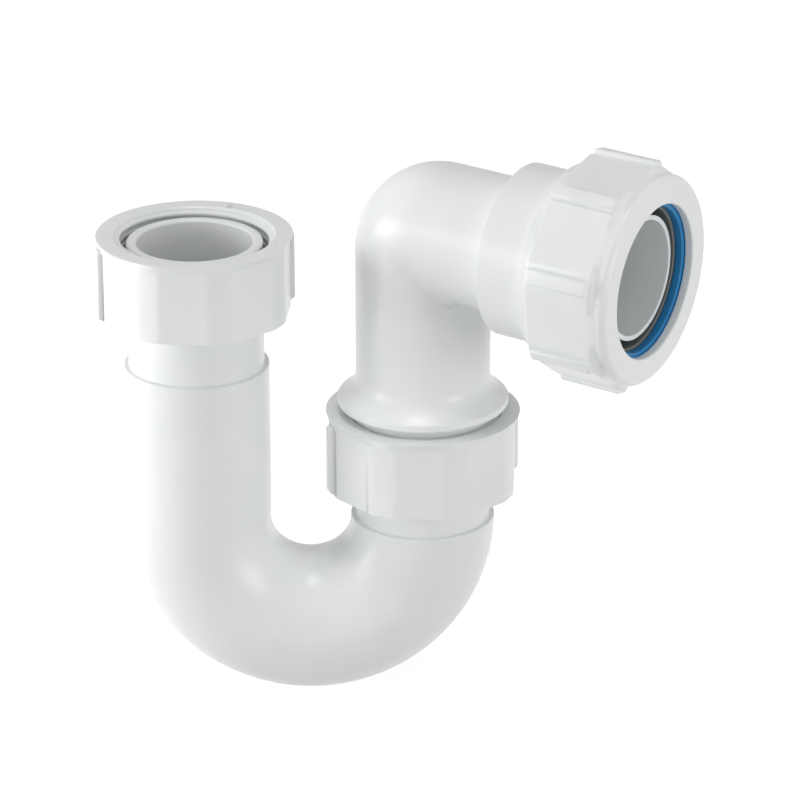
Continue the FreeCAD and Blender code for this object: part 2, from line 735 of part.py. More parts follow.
helix_groove(
    outlet_nut,
    "OutletNutThread",
    [
        ("outlet_crest - overcut / 2", "outlet_nut_rear - outlet_pitch / 2 - outlet_groove_crest / 2"),
        ("outlet_crest", "outlet_nut_rear - outlet_pitch / 2 - outlet_groove_crest / 2"),
        ("outlet_root", "outlet_nut_rear - outlet_pitch / 2 - outlet_groove_root / 2"),
        ("outlet_root", "outlet_nut_rear - outlet_pitch / 2 + outlet_groove_root / 2"),
        ("outlet_crest", "outlet_nut_rear - outlet_pitch / 2 + outlet_groove_crest / 2"),
        ("outlet_crest - overcut / 2", "outlet_nut_rear - outlet_pitch / 2 + outlet_groove_crest / 2"),
    ],
    "outlet_pitch",
    "outlet_thread_end - outlet_nut_rear + outlet_pitch / 2",
    down=False,
)
ring_face = "outlet_nut_front - outlet_lip - seat_gap"
seal_face = ring_face + " - outlet_ring_thickness - seat_gap"
outlet_slip_ring = new_body("OutletSlipRing", "outlet_slip_ring")
turned(
    outlet_slip_ring,
    "OutletRing",
    [
        ("outlet_ring_bore", ring_face + " - outlet_ring_thickness"),
        ("outlet_ring_radius", ring_face + " - outlet_ring_thickness"),
        ("outlet_ring_radius", ring_face),
        ("outlet_ring_bore + outlet_ring_edge", ring_face),
        ("outlet_ring_bore", ring_face + " - outlet_ring_edge"),
    ],
)
outlet_seal = new_body("OutletSeal", "outlet_seal")
turned(
    outlet_seal,
    "OutletSealCone",
    [
        ("outlet_seal_bore", "sleeve_end + seat_gap"),
        ("outlet_seal_tip", "sleeve_end + seat_gap"),
        ("outlet_seal_radius", "sleeve_end + seal_base_height"),
        ("outlet_seal_radius", seal_face),
        ("outlet_ring_bore", seal_face),
        ("outlet_seal_bore", seal_face + " - outlet_ring_bore + outlet_seal_bore"),
    ],
)
outlet_nut.Placement = arm_place().multiply(
    FreeCAD.Placement(
        FreeCAD.Vector(), FreeCAD.Rotation(FreeCAD.Vector(0, 0, 1), 180 + value("sizes.outlet_nut_turn"))
    )
)
outlet_slip_ring.Placement = arm_place()
outlet_seal.Placement = arm_place()


# ---------------------------------------------------------------------------------------------
# Check every object, then write each piece
# ---------------------------------------------------------------------------------------------
doc.recompute()
pieces = [
    trap_bend,
    inlet_nut,
    inlet_slip_ring,
    inlet_seal,
    swivel_nut,
    swivel_slip_ring,
    swivel_seal,
    outlet_elbow,
    outlet_nut,
    outlet_slip_ring,
    outlet_seal,
]
for item in doc.Objects:
    if "Invalid" in item.State or "Error" in item.State:
        raise RuntimeError(item.Name + " failed: " + item.getStatusString())
for piece in pieces:
    if piece.Shape.isNull() or not piece.Shape.isValid() or len(piece.Shape.Solids) != 1:
        raise RuntimeError(piece.Label + " is not one valid solid")

os.makedirs("parts", exist_ok=True)
for piece in pieces:
    piece.Shape.exportStep(os.path.join("parts", piece.Label + ".step"))
    print(piece.Label, round(piece.Shape.Volume / 1000, 2), "cm3")
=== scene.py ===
import json
from math import atan2, cos, pi, radians, sin, tan

import bpy
from mathutils import Matrix, Vector

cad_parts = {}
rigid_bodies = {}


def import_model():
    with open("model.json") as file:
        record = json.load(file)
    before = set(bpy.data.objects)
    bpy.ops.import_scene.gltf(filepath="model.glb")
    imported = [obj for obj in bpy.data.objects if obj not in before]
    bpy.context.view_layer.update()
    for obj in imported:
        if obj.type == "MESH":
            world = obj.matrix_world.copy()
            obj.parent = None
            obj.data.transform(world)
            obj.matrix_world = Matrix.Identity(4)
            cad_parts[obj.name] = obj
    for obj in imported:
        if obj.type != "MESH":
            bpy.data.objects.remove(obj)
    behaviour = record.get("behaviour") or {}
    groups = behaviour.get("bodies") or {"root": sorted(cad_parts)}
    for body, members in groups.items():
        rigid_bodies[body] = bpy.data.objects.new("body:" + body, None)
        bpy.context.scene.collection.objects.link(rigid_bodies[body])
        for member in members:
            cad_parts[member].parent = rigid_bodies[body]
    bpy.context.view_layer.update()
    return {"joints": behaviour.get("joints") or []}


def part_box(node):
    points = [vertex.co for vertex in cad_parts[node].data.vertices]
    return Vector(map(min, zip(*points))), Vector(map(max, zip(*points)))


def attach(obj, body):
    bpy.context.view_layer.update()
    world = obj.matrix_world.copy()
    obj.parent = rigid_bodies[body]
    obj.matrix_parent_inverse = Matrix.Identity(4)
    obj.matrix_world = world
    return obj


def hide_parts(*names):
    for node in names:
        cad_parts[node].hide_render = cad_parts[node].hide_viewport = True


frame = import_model()

# ---------------------------------------------------------------------------------------------
# The U bend: one injection moulding of white polypropylene, two plain spigots joined by a tube.
# Each leg steps in to its spigot, and the step's edge is left with a small radius by the tool.
# ---------------------------------------------------------------------------------------------
mm = 0.001
tube_sides = 144
u_low, u_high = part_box("trap_bend")
leg_radius = 22.2 * mm
leg_bore = 19.3 * mm
spigot_radius = 20.7 * mm
spigot_bore = 17.6 * mm
spigot_length = 39.5 * mm
step_rise = 0.7 * mm
inlet_x = u_low.x + leg_radius
swivel_x = u_high.x - leg_radius
arc_centre = Vector(((inlet_x + swivel_x) / 2, 0, u_low.z + leg_radius + (swivel_x - inlet_x) / 2))
swivel_step = arc_centre.z + step_rise


def start_ring(name, centre, axis, radius, sides, along=0.0):
    """Adds a ring of edges square to an axis, so far along it, and leaves it open for shaping."""
    if bpy.context.mode != "OBJECT":
        bpy.ops.object.mode_set(mode="OBJECT")
    bpy.ops.object.select_all(action="DESELECT")
    turn = Vector((0, 0, 1)).rotation_difference(axis).to_euler()
    bpy.ops.mesh.primitive_circle_add(vertices=sides, radius=radius, location=centre, rotation=turn)
    piece = bpy.context.object
    piece.name = name
    bpy.ops.object.transform_apply(location=True, rotation=True, scale=True)
    bpy.ops.object.mode_set(mode="EDIT")
    return {"piece": piece, "centre": Vector(centre), "axis": Vector(axis), "radius": radius, "along": along}


def add_ring(ring, centre, axis, radius, sides):
    """Adds another open ring to the piece that is being shaped."""
    bpy.ops.mesh.select_all(action="DESELECT")
    turn = Vector((0, 0, 1)).rotation_difference(axis).to_euler()
    bpy.ops.mesh.primitive_circle_add(vertices=sides, radius=radius, location=centre, rotation=turn)
    return {**ring, "centre": Vector(centre), "axis": Vector(axis), "radius": radius, "along": 0.0}


def grow(ring, steps):
    """Extrudes the open ring: each step is a distance from its start along its axis, and a radius."""
    for along, radius in steps:
        shift = ring["axis"] * (along - ring["along"])
        bpy.ops.mesh.extrude_region_move(TRANSFORM_OT_translate={"value": shift})
        ring["centre"] += shift
        if abs(radius - ring["radius"]) > 1e-9:
            scale = (radius / ring["radius"],) * 3
            bpy.ops.transform.resize(value=scale, center_override=ring["centre"])
        ring["along"] = along
        ring["radius"] = radius


def close_up(piece):
    """Merges what meets, turns every face outwards and leaves edit mode."""
    bpy.ops.mesh.select_all(action="SELECT")
    bpy.ops.mesh.remove_doubles(threshold=0.000004)
    bpy.ops.mesh.normals_make_consistent(inside=False)
    bpy.ops.object.mode_set(mode="OBJECT")
    return piece


def round_edges(piece, width, sharper_than=30, segments=3):
    """Rounds the edges of a moulding with a bevel, and shades its faces smooth."""
    bevel = piece.modifiers.new("edge_radius", "BEVEL")
    bevel.width = width
    bevel.segments = segments
    bevel.limit_method = "ANGLE"
    bevel.angle_limit = radians(sharper_than)
    bpy.ops.object.modifier_apply(modifier=bevel.name)
    bpy.ops.object.shade_smooth_by_angle(angle=radians(32))
    even = piece.modifiers.new("even_shading", "WEIGHTED_NORMAL")
    even.keep_sharp = True
    bpy.ops.object.modifier_apply(modifier=even.name)


def linear(hex_colour):
    """A linear colour from an sRGB hex value."""
    parts = [int(hex_colour[i:i + 2], 16) / 255 for i in (0, 2, 4)]
    return (*[p / 12.92 if p <= 0.04045 else ((p + 0.055) / 1.055) ** 2.4 for p in parts], 1.0)


def node(material, kind, settings=(), links=()):
    """Adds a node with its settings, and links other nodes' outputs to its inputs."""
    made = material.node_tree.nodes.new(kind)
    for name, value in dict(settings).items():
        if name in made.inputs:
            made.inputs[name].default_value = value
        else:
            setattr(made, name, value)
    for source, output, name in links:
        material.node_tree.links.new(source.outputs[output], made.inputs[name])
    return made


def new_material(name, settings):
    """A material with one principled shader, and that shader's fixed settings."""
    material = bpy.data.materials.new(name)
    material.use_nodes = True
    shader = material.node_tree.nodes["Principled BSDF"]
    for socket, value in settings.items():
        shader.inputs[socket].default_value = value
    return material, shader


# Moulded polypropylene, satin: the tool's fine spark grain breaks the gloss up, the melt's slow
# shrinkage leaves broad, very shallow waves, and the white varies a little from place to place.
moulded_pp, pp_shader = new_material(
    "moulded_polypropylene", {"Roughness": 0.3, "IOR": 1.49, "Subsurface Weight": 0.15,
                              "Subsurface Radius": (1.0, 1.0, 0.95), "Subsurface Scale": 1.2 * mm}
)
place = node(moulded_pp, "ShaderNodeTexCoord")
grain_size = 0.35 * mm
wave_size = 14 * mm
grain = node(moulded_pp, "ShaderNodeTexNoise", {"Scale": 1 / grain_size, "Detail": 2.0},
             [(place, "Object", "Vector")])
waves = node(moulded_pp, "ShaderNodeTexNoise", {"Scale": 1 / wave_size, "Detail": 1.0},
             [(place, "Object", "Vector")])
white = node(moulded_pp, "ShaderNodeValToRGB", {}, [(waves, "Fac", "Fac")])
white.color_ramp.elements[0].position = 0.35
white.color_ramp.elements[0].color = linear("EFF2F1")
white.color_ramp.elements[1].position = 0.65
white.color_ramp.elements[1].color = linear("F2F4F3")
satin = node(moulded_pp, "ShaderNodeMapRange", {"To Min": 0.26, "To Max": 0.34}, [(grain, "Fac", "Value")])
shrinkage = node(moulded_pp, "ShaderNodeBump", {"Strength": 0.1, "Distance": 0.08 * mm},
                 [(waves, "Fac", "Height")])
spark = node(moulded_pp, "ShaderNodeBump", {"Strength": 0.12, "Distance": 0.02 * mm},
             [(grain, "Fac", "Height"), (shrinkage, "Normal", "Normal")])
moulded_pp.node_tree.links.new(white.outputs["Color"], pp_shader.inputs["Base Color"])
moulded_pp.node_tree.links.new(satin.outputs["Result"], pp_shader.inputs["Roughness"])
moulded_pp.node_tree.links.new(spark.outputs["Normal"], pp_shader.inputs["Normal"])


def dress(piece, material, body, replaced):
    """Gives a piece its material, and puts it in the frame in its node's place."""
    piece.data.materials.clear()
    piece.data.materials.append(material)
    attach(piece, body)
    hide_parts(replaced)


def turn_u(ring, inwards):
    """Spins the open ring half way round the U's centre."""
    bpy.ops.mesh.spin(steps=72, angle=pi if inwards else -pi, center=arc_centre, axis=(0, 1, 0))
    ring["centre"].x = inlet_x + swivel_x - ring["centre"].x
    ring["axis"] = -ring["axis"]
    ring["along"] = 0.0


rim_rise = 0.5 * mm
u_start = Vector((inlet_x, 0, u_high.z))
u_wall = start_ring("u_bend", u_start, (0, 0, -1), spigot_bore + rim_rise, tube_sides)
inlet_drop = u_high.z - arc_centre.z
swivel_top = swivel_step + spigot_length - arc_centre.z
grow(u_wall, [
    (0, spigot_radius - rim_rise),
    (rim_rise, spigot_radius),
    (spigot_length, spigot_radius),
    (spigot_length, leg_radius),
    (inlet_drop, leg_radius),
])
turn_u(u_wall, True)
grow(u_wall, [
    (step_rise, leg_radius),
    (step_rise, spigot_radius),
    (swivel_top - rim_rise, spigot_radius),
    (swivel_top, spigot_radius - rim_rise),
    (swivel_top, spigot_bore + rim_rise),
])
bore_wall = add_ring(u_wall, u_start, (0, 0, -1), spigot_bore + rim_rise, tube_sides)
grow(bore_wall, [
    (rim_rise, spigot_bore),
    (spigot_length - 3 * mm, spigot_bore),
    (spigot_length + 3 * mm, leg_bore),
    (inlet_drop, leg_bore),
])
turn_u(bore_wall, True)
grow(bore_wall, [
    (step_rise, leg_bore),
    (step_rise + 3 * mm, spigot_bore),
    (swivel_top - rim_rise, spigot_bore),
    (swivel_top, spigot_bore + rim_rise),
])
u_bend = close_up(u_wall["piece"])
round_edges(u_bend, 0.35 * mm)
dress(u_bend, moulded_pp, "trap_bend", "trap_bend")

# ---------------------------------------------------------------------------------------------
# Two coupling nuts, moulded in the same white polypropylene: eight flats with a grip rib on each
# corner, a plain band at the mouth, and a parallel pipe thread inside that stops short of the floor.
# ---------------------------------------------------------------------------------------------
nut_sides = 192
nut_height = 24.8 * mm
nut_edge = 0.7 * mm
rim_radius = 29.8 * mm
rim_height = 2.4 * mm
body_radius = 29.2 * mm
flat_radius = 28.2 * mm
rib_radius = 31.0 * mm
rib_root = 27.4 * mm
rib_width = 4.2 * mm
ribs = 8
thread_root = 24.1 * mm
thread_crest = 22.6 * mm
thread_pitch = 2.309 * mm
floor_bore = 21.1 * mm
floor_thickness = 3.0 * mm


def grip_ribs(piece, root, top, low, high, width, slope_low, slope_high):
    """Adds one rounded rib, copies it round the nut's axis, and joins them all with its wall."""
    bpy.ops.object.select_all(action="DESELECT")
    middle = ((root + top) / 2, 0, (low + high) / 2)
    bpy.ops.mesh.primitive_cube_add(size=1, location=middle, scale=(top - root, width, high - low))
    rib = bpy.context.object
    bpy.ops.object.transform_apply(location=True, rotation=True, scale=True)
    bpy.ops.object.mode_set(mode="EDIT")
    for is_high, slope in ((True, -slope_high), (False, slope_low)):
        bpy.ops.mesh.select_all(action="DESELECT")
        bpy.ops.object.mode_set(mode="OBJECT")
        for corner in rib.data.vertices:
            corner.select = corner.co.x > middle[0] and (corner.co.z > middle[2]) == is_high
        bpy.ops.object.mode_set(mode="EDIT")
        bpy.ops.transform.translate(value=(0, 0, slope))
    bpy.ops.mesh.select_mode(type="EDGE")
    bpy.ops.object.mode_set(mode="OBJECT")
    for edge in rib.data.edges:
        edge.select = all(rib.data.vertices[i].co.x > middle[0] for i in edge.vertices)
    bpy.ops.object.mode_set(mode="EDIT")
    bpy.ops.mesh.bevel(offset=0.75 * mm, segments=4, affect="EDGES")
    bpy.ops.mesh.select_all(action="SELECT")
    bpy.ops.mesh.spin(steps=ribs - 1, angle=2 * pi * (ribs - 1) / ribs, dupli=True,
                      center=(0, 0, 0), axis=(0, 0, 1))
    bpy.ops.mesh.select_mode(type="VERT")
    bpy.ops.object.mode_set(mode="OBJECT")
    bpy.ops.object.select_all(action="DESELECT")
    bpy.context.view_layer.objects.active = piece
    piece.select_set(True)
    union = piece.modifiers.new("ribs", "BOOLEAN")
    union.operation = "UNION"
    union.solver = "EXACT"
    union.object = rib
    bpy.ops.object.modifier_apply(modifier=union.name)
    bpy.data.objects.remove(rib)


def flatten_sides(piece, flat, radius, low, high, count):
    """Presses a flat into the wall between each two ribs, one after another."""
    bpy.ops.object.mode_set(mode="EDIT")
    step = 2 * pi / count
    bpy.ops.transform.rotate(value=step / 2, orient_axis="Z", center_override=(0, 0, 0))
    for _ in range(count):
        bpy.ops.mesh.select_all(action="DESELECT")
        bpy.ops.object.mode_set(mode="OBJECT")
        for corner in piece.data.vertices:
            outside = corner.co.xy.length > radius - nut_edge * 1.5
            corner.select = outside and low < corner.co.z < high and corner.co.x > flat
        bpy.ops.object.mode_set(mode="EDIT")
        bpy.ops.transform.resize(value=(0, 1, 1), center_override=(flat, 0, 0))
        bpy.ops.mesh.select_all(action="SELECT")
        bpy.ops.transform.rotate(value=step, orient_axis="Z", center_override=(0, 0, 0))
    bpy.ops.transform.rotate(value=-step / 2, orient_axis="Z", center_override=(0, 0, 0))
    bpy.ops.object.mode_set(mode="OBJECT")


def thread_ridge(root, crest, pitch, root_width, crest_width, at_zero, first_turn, turns, steps):
    """A helical ridge along Z with closed ends, made by screwing its cross-section."""
    bpy.ops.object.select_all(action="DESELECT")
    start = at_zero + pitch * first_turn
    bpy.ops.mesh.primitive_plane_add(size=1, location=((root + crest) / 2, 0, start), rotation=(pi / 2, 0, 0))
    ridge = bpy.context.object
    ridge.scale = (abs(root - crest), root_width, 1)
    bpy.ops.object.transform_apply(location=True, rotation=True, scale=True)
    for corner in ridge.data.vertices:
        corner.select = abs(corner.co.x - crest) < abs(corner.co.x - root)
    for side in (*ridge.data.edges, *ridge.data.polygons):
        side.select = False
    bpy.ops.object.mode_set(mode="EDIT")
    bpy.ops.transform.resize(value=(1, 1, crest_width / root_width), center_override=(crest, 0, start))
    bpy.ops.mesh.select_all(action="SELECT")
    bpy.ops.mesh.delete(type="ONLY_FACE")
    bpy.ops.object.mode_set(mode="OBJECT")
    screw = ridge.modifiers.new("helix", "SCREW")
    screw.axis = "Z"
    screw.angle = 2 * pi * turns
    screw.screw_offset = pitch * turns
    screw.steps = screw.render_steps = int(steps * turns)
    screw.use_smooth_shade = False
    bpy.ops.object.modifier_apply(modifier=screw.name)
    ridge.rotation_euler.z = 2 * pi * first_turn
    bpy.ops.object.transform_apply(location=True, rotation=True, scale=True)
    bpy.ops.object.mode_set(mode="EDIT")
    bpy.ops.mesh.select_all(action="SELECT")
    bpy.ops.mesh.fill_holes(sides=4)
    close_up(ridge)
    bpy.ops.object.shade_smooth_by_angle(angle=radians(32))
    return ridge


def join_to(piece, *parts):
    """Joins parts to a piece as shells of one mesh."""
    bpy.ops.object.select_all(action="DESELECT")
    for part in (*parts, piece):
        part.select_set(True)
    bpy.context.view_layer.objects.active = piece
    bpy.ops.object.join()


def settle(piece, matrix):
    """Puts a finished piece in its place in the frame, with its object at the origin."""
    piece.matrix_world = matrix
    bpy.ops.object.select_all(action="DESELECT")
    piece.select_set(True)
    bpy.context.view_layer.objects.active = piece
    bpy.ops.object.transform_apply(location=True, rotation=True, scale=True)


nut_wall = start_ring("inlet_coupling_nut", (0, 0, 0), (0, 0, -1), thread_root + 0.5 * mm, nut_sides)
grow(nut_wall, [
    (0, rim_radius),
    (rim_height, rim_radius),
    (rim_height, body_radius),
    (nut_height, body_radius),
    (nut_height, floor_bore),
    (nut_height - floor_thickness, floor_bore),
    (nut_height - floor_thickness, thread_root),
    (0.5 * mm, thread_root),
    (0, thread_root + 0.5 * mm),
])
inlet_nut = close_up(nut_wall["piece"])
flatten_sides(inlet_nut, flat_radius, body_radius, -nut_height - mm, -rim_height + 0.01 * mm, ribs)
round_edges(inlet_nut, 0.5 * mm)
grip_ribs(inlet_nut, rib_root, rib_radius, -nut_height + 0.3 * mm, -1.0 * mm, rib_width, 1.2 * mm, 1.4 * mm)
bpy.ops.object.shade_smooth_by_angle(angle=radians(32))
female_ridge = thread_ridge(thread_root + 0.2 * mm, thread_crest, thread_pitch, 1.8 * mm, 0.56 * mm,
                            -5 * thread_pitch, 0.17, 4.4, 96)
join_to(inlet_nut, female_ridge)

swivel_nut = inlet_nut.copy()
swivel_nut.data = inlet_nut.data.copy()
swivel_nut.name = "swivel_coupling_nut"
bpy.context.collection.objects.link(swivel_nut)
for nut, cad_node, body, turned_by in ((inlet_nut, "inlet_nut", "inlet_nut", 16.0),
                                       (swivel_nut, "swivel_nut", "swivel_nut", 18.3)):
    nut_low, nut_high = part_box(cad_node)
    mouth = ((nut_low.x + nut_high.x) / 2, (nut_low.y + nut_high.y) / 2, nut_high.z)
    settle(nut, Matrix.Translation(mouth) @ Matrix.Rotation(radians(turned_by), 4, "Z"))
    dress(nut, moulded_pp, body, cad_node)

# ---------------------------------------------------------------------------------------------
# The outlet elbow, one white polypropylene moulding: a threaded socket under a flared shoulder, a
# tight corner with a crease on its inside, and an arm with a collar, a flange and a threaded sleeve.
# ---------------------------------------------------------------------------------------------
pipe_radius = 20.6 * mm
pipe_bore = 17.6 * mm
shoulder_radius = 26.2 * mm
corner = 6.9 * mm
fall = radians(2)
crossing = Vector((swivel_x, 0, 2.2 * mm))
nut_joint = next(joint for joint in frame["joints"] if joint["name"] == "outlet_nut_unscrew")
heading = atan2(nut_joint["axis"][1], nut_joint["axis"][0])
corner_drop = corner * (cos(fall) + (1 + sin(fall)) * tan(fall))
hinge = Vector((corner, 0, -corner_drop))
arm_way = Vector((cos(fall), 0, -sin(fall)))
mitre = Vector((sin((pi / 2 + fall) / 2), 0, cos((pi / 2 + fall) / 2)))
male_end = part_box("outlet_elbow")[0].z - crossing.z
shoulder = male_end + 11.3 * mm
bell_foot = shoulder + 2.6 * mm
bell_height = 7.5 * mm
male_root = 22.2 * mm
male_crest = 23.7 * mm
socket_bore = 21.0 * mm
socket_stop = male_end + 14.1 * mm
collar_start = 32.2 * mm
flange_start = 49.5 * mm
sleeve_end = 66.3 * mm
sleeve_root = 26.7 * mm
sleeve_crest = 28.0 * mm
sleeve_bore = 21.8 * mm
sleeve_floor = 56.0 * mm
liner_end = 74.2 * mm
liner_radius = 18.9 * mm
liner_bore = 17.5 * mm
outlet_pitch = 3.0 * mm


def pick_edges(piece, wanted, open_only=False):
    """Selects the edges whose two ends both pass a test of place, or only the wall's open ones."""
    bpy.ops.mesh.select_mode(type="EDGE")
    bpy.ops.mesh.select_all(action="DESELECT")
    bpy.ops.object.mode_set(mode="OBJECT")
    uses = {}
    for face in piece.data.polygons:
        for key in face.edge_keys:
            uses[key] = uses.get(key, 0) + 1
    points = piece.data.vertices
    for edge in piece.data.edges:
        is_open = uses.get(edge.key, 0) == 1
        edge.select = (is_open or not open_only) and all(wanted(points[i].co) for i in edge.vertices)
    bpy.ops.object.mode_set(mode="EDIT")


def cut_beyond(at, facing):
    """Cuts the open wall off where it passes a plane, and leaves the cut selected."""
    bpy.ops.mesh.select_linked()
    bpy.ops.mesh.bisect(plane_co=at, plane_no=facing, clear_outer=True)


def turn_corner(ring):
    """Takes the wall round the corner: round the back by a spin, and to a mitre on the inside."""
    grow(ring, [(ring["along"] + 60 * mm, ring["radius"])])
    cut_beyond(hinge, mitre)
    cut_beyond(hinge, (0, 0, 1))
    bpy.ops.mesh.spin(steps=32, angle=-(pi / 2 + fall), center=hinge, axis=(0, 1, 0))
    bpy.ops.mesh.select_linked()
    bpy.ops.mesh.remove_doubles(threshold=0.03 * mm)
    pick_edges(
        ring["piece"], lambda at: at.x < collar_start - 3 * mm and at.z > male_end + 22 * mm, open_only=True
    )
    bpy.ops.mesh.extrude_region_move(TRANSFORM_OT_translate={"value": arm_way * 60 * mm})
    cut_beyond(arm_way * collar_start, arm_way)
    ring["centre"] = arm_way * collar_start
    ring["axis"] = arm_way
    ring["along"] = collar_start


elbow_wall = start_ring("outlet_elbow_moulding", (0, 0, male_end), (0, 0, 1), socket_bore + mm, tube_sides)
flare = [(bell_foot - male_end + bell_height * t / 8,
          pipe_radius + (shoulder_radius - 0.4 * mm - pipe_radius) * (1 - t / 8) ** 2.4) for t in range(9)]
grow(elbow_wall, [
    (0, male_root),
    (shoulder - male_end, male_root),
    (shoulder - male_end, shoulder_radius - 0.4 * mm),
    (shoulder - male_end + 0.5 * mm, shoulder_radius),
    (bell_foot - male_end - 0.5 * mm, shoulder_radius),
    *flare,
    (50 * mm, pipe_radius),
])
turn_corner(elbow_wall)
grow(elbow_wall, [
    (collar_start, 21.0 * mm),
    (collar_start + 1.5 * mm, 26.2 * mm),
    (flange_start, 26.2 * mm),
    (flange_start, 29.4 * mm),
    (flange_start + 2.6 * mm, 29.4 * mm),
    (flange_start + 2.6 * mm, sleeve_root),
    (sleeve_end, sleeve_root),
    (sleeve_end, sleeve_bore),
    (sleeve_floor, sleeve_bore),
    (sleeve_floor, liner_radius),
    (liner_end, liner_radius),
])
elbow_bore = add_ring(elbow_wall, (0, 0, male_end), (0, 0, 1), socket_bore + mm, tube_sides)
grow(elbow_bore, [
    (mm, socket_bore),
    (socket_stop - male_end, socket_bore),
    (socket_stop - male_end, pipe_bore),
])
turn_corner(elbow_bore)
grow(elbow_bore, [(collar_start + mm, liner_bore), (liner_end, liner_bore)])
elbow_piece = elbow_wall["piece"]
pick_edges(elbow_piece, lambda at: at.x > liner_end - 5 * mm, open_only=True)
bpy.ops.mesh.bridge_edge_loops()
close_up(elbow_piece)
bpy.ops.object.mode_set(mode="EDIT")
pick_edges(elbow_piece, lambda at: abs((at - hinge).dot(mitre)) < 0.01 * mm and at.x > hinge.x + 2.5 * mm)
bpy.ops.mesh.bevel(offset=2.2 * mm, segments=5, affect="EDGES")
bpy.ops.mesh.select_mode(type="VERT")
bpy.ops.object.mode_set(mode="OBJECT")
round_edges(elbow_piece, 0.45 * mm, 38)
swivel_ridge = thread_ridge(male_root - 0.2 * mm, male_crest, thread_pitch, 1.8 * mm, 0.56 * mm,
                            male_end + 0.29 * mm, 0.3, 3.2, 96)
outlet_ridge = thread_ridge(sleeve_root - 0.2 * mm, sleeve_crest, outlet_pitch, 2.3 * mm, 0.9 * mm,
                            53.5 * mm, 0.57, 3.3, 96)
lie_on_arm = Matrix.Rotation(pi / 2 + fall, 4, "Y")
settle(outlet_ridge, lie_on_arm)
join_to(elbow_piece, swivel_ridge, outlet_ridge)
face_outlet = Matrix.Translation(crossing) @ Matrix.Rotation(heading, 4, "Z")
settle(elbow_piece, face_outlet)
dress(elbow_piece, moulded_pp, "outlet_elbow", "outlet_elbow")

# ---------------------------------------------------------------------------------------------
# The outlet nut, moulded in white polypropylene, larger than the other two: eight flats and ribs,
# a chamfered band in front, and a lip that holds the blue ring and the seal against the sleeve.
# ---------------------------------------------------------------------------------------------
outlet_rear = 53.4 * mm
outlet_front = 79.4 * mm
outlet_body = 33.4 * mm
outlet_flat = 32.2 * mm
band_start = outlet_front - 5.0 * mm
band_radius = 31.9 * mm
lip_bore = 23.3 * mm
lip_thickness = 2.9 * mm
outlet_root = 28.4 * mm
outlet_crest = 27.1 * mm
outlet_thread_end = 69.0 * mm
outlet_wall = start_ring(
    "outlet_compression_nut", (0, 0, outlet_rear), (0, 0, 1), outlet_root, nut_sides, outlet_rear
)
grow(outlet_wall, [
    (outlet_rear, outlet_body),
    (band_start, outlet_body),
    (band_start + outlet_body - band_radius, band_radius),
    (outlet_front - 1.4 * mm, band_radius),
    (outlet_front, band_radius - 1.4 * mm),
    (outlet_front, lip_bore),
    (outlet_front - lip_thickness, lip_bore),
    (outlet_front - lip_thickness, outlet_crest),
    (outlet_thread_end, outlet_crest),
    (outlet_thread_end, outlet_root),
    (outlet_rear, outlet_root),
])
outlet_nut = close_up(outlet_wall["piece"])
flatten_sides(outlet_nut, outlet_flat, outlet_body, outlet_rear - mm, band_start + 0.01 * mm, ribs)
round_edges(outlet_nut, 0.6 * mm, 25)
grip_ribs(outlet_nut, 31.0 * mm, 35.2 * mm, outlet_rear + 0.35 * mm, band_start + 0.3 * mm, 4.6 * mm,
          0.7 * mm, 0.5 * mm)
bpy.ops.object.shade_smooth_by_angle(angle=radians(32))
outlet_female = thread_ridge(outlet_root + 0.2 * mm, outlet_crest, outlet_pitch, 2.3 * mm, 0.9 * mm,
                             outlet_rear, 0.45, 4.4, 96)
join_to(outlet_nut, outlet_female)
settle(outlet_nut, face_outlet @ lie_on_arm @ Matrix.Rotation(radians(180 - 12), 4, "Z"))
dress(outlet_nut, moulded_pp, "outlet_nut", "outlet_nut")

# ---------------------------------------------------------------------------------------------
# The slip rings and seals. A hard polyethylene ring lets each nut turn without dragging the seal,
# which is a moulded rubber cone. The outlet's ring is blue and shows in the nut's mouth.
# ---------------------------------------------------------------------------------------------
# Moulded rubber: dark grey and nearly matt, with a fine bloom that takes the edge off the black.
moulded_rubber, rubber_shader = new_material(
    "moulded_epdm_rubber", {"Roughness": 0.62, "IOR": 1.52, "Specular IOR Level": 0.45}
)
rubber_place = node(moulded_rubber, "ShaderNodeTexCoord")
bloom = node(moulded_rubber, "ShaderNodeTexNoise", {"Scale": 1 / (0.5 * mm), "Detail": 3.0},
             [(rubber_place, "Object", "Vector")])
rubber_tone = node(moulded_rubber, "ShaderNodeValToRGB", {}, [(bloom, "Fac", "Fac")])
rubber_tone.color_ramp.elements[0].color = linear("666967")
rubber_tone.color_ramp.elements[1].color = linear("7F8280")
rubber_grain = node(moulded_rubber, "ShaderNodeBump", {"Strength": 0.2, "Distance": 0.02 * mm},
                    [(bloom, "Fac", "Height")])
moulded_rubber.node_tree.links.new(rubber_tone.outputs["Color"], rubber_shader.inputs["Base Color"])
moulded_rubber.node_tree.links.new(rubber_grain.outputs["Normal"], rubber_shader.inputs["Normal"])

